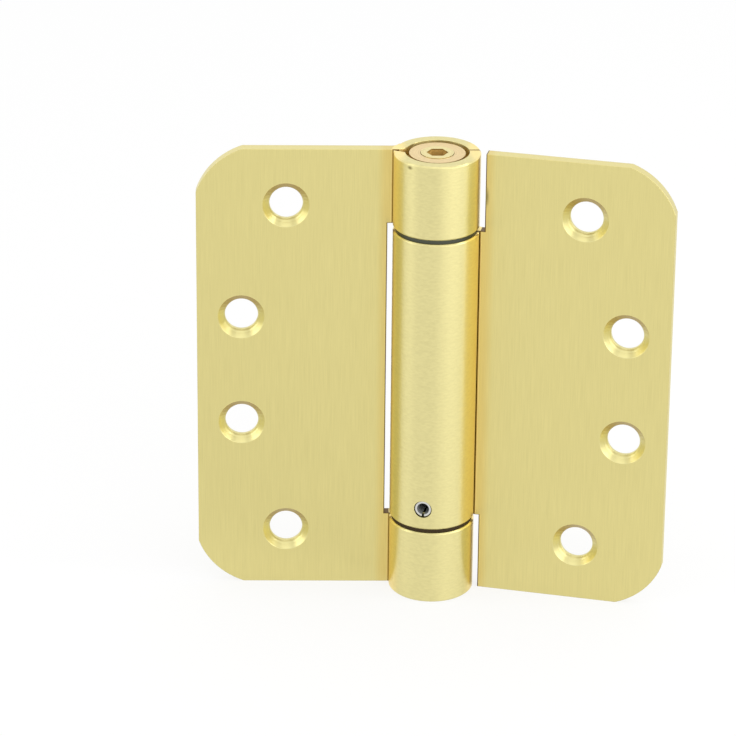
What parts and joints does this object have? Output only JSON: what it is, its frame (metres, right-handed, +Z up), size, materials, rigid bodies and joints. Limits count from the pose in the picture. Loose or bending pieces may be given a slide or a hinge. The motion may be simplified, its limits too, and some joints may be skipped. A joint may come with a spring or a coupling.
{
  "type": "spring door hinge",
  "caption": "Self-closing spring door hinge, 4 by 4 inches with 5/8 inch corners: two screw-fixed leaves, rolled barrel, torsion spring and hex-key tension adjuster.",
  "frame": {"origin": "on the barrel's axis, at the lower end of the barrel", "axes": "+Z up the barrel towards the adjuster, +Y out of the frame leaf's back, away from its countersunk face, frame leaf towards -X and door leaf towards +X"},
  "size_m": [0.1009, 0.0204, 0.1016],
  "materials": {
    "satin_brass_plate": "satin brass plating, brushed up and down, on pressed steel",
    "black_nylon": "moulded black nylon",
    "dark_sintered_steel": "oiled sintered steel, dark grey",
    "bright_steel": "bright turned steel",
    "sintered_brass": "turned brass with a pinkish tone",
    "turned_brass": "turned yellow brass",
    "spring_steel": "oil-tempered square spring wire"
  },
  "bodies": {
    "frame": {"frame_leaf": "satin_brass_plate", "lock_sleeve": "sintered_brass", "thrust_washer": "bright_steel", "lower_bush": "black_nylon", "lower_cap": "satin_brass_plate"},
    "door": {"door_leaf": "satin_brass_plate", "upper_bush": "dark_sintered_steel", "spring_anchor": "bright_steel", "anchor_pin": "bright_steel", "torsion_spring": "spring_steel"},
    "adjuster": {"tension_spindle": "bright_steel", "lock_spring": "spring_steel"},
    "plug": {"lock_plug": "turned_brass"}
  },
  "joints": [
    {"name": "leaf_swing", "type": "hinge", "parent": "frame", "child": "door", "pos_m": [0, 0, 0], "axis": [0, 0, 1], "range_deg": [-166.1, 13.9], "stiffness_Nm_per_rad": 0.78, "deforming": ["torsion_spring"]},
    {"name": "adjuster_turn", "type": "hinge", "parent": "frame", "child": "adjuster", "pos_m": [0, 0, 0], "axis": [0, 0, 1], "range_deg": [-270, 0], "deforming": ["torsion_spring"]},
    {"name": "lock_push", "type": "slide", "parent": "adjuster", "child": "plug", "axis": [0, 0, -1], "range_m": [0, 0.003], "stiffness_N_per_m": 500, "springref_m": -0.002, "deforming": ["lock_spring"]}
  ]
}
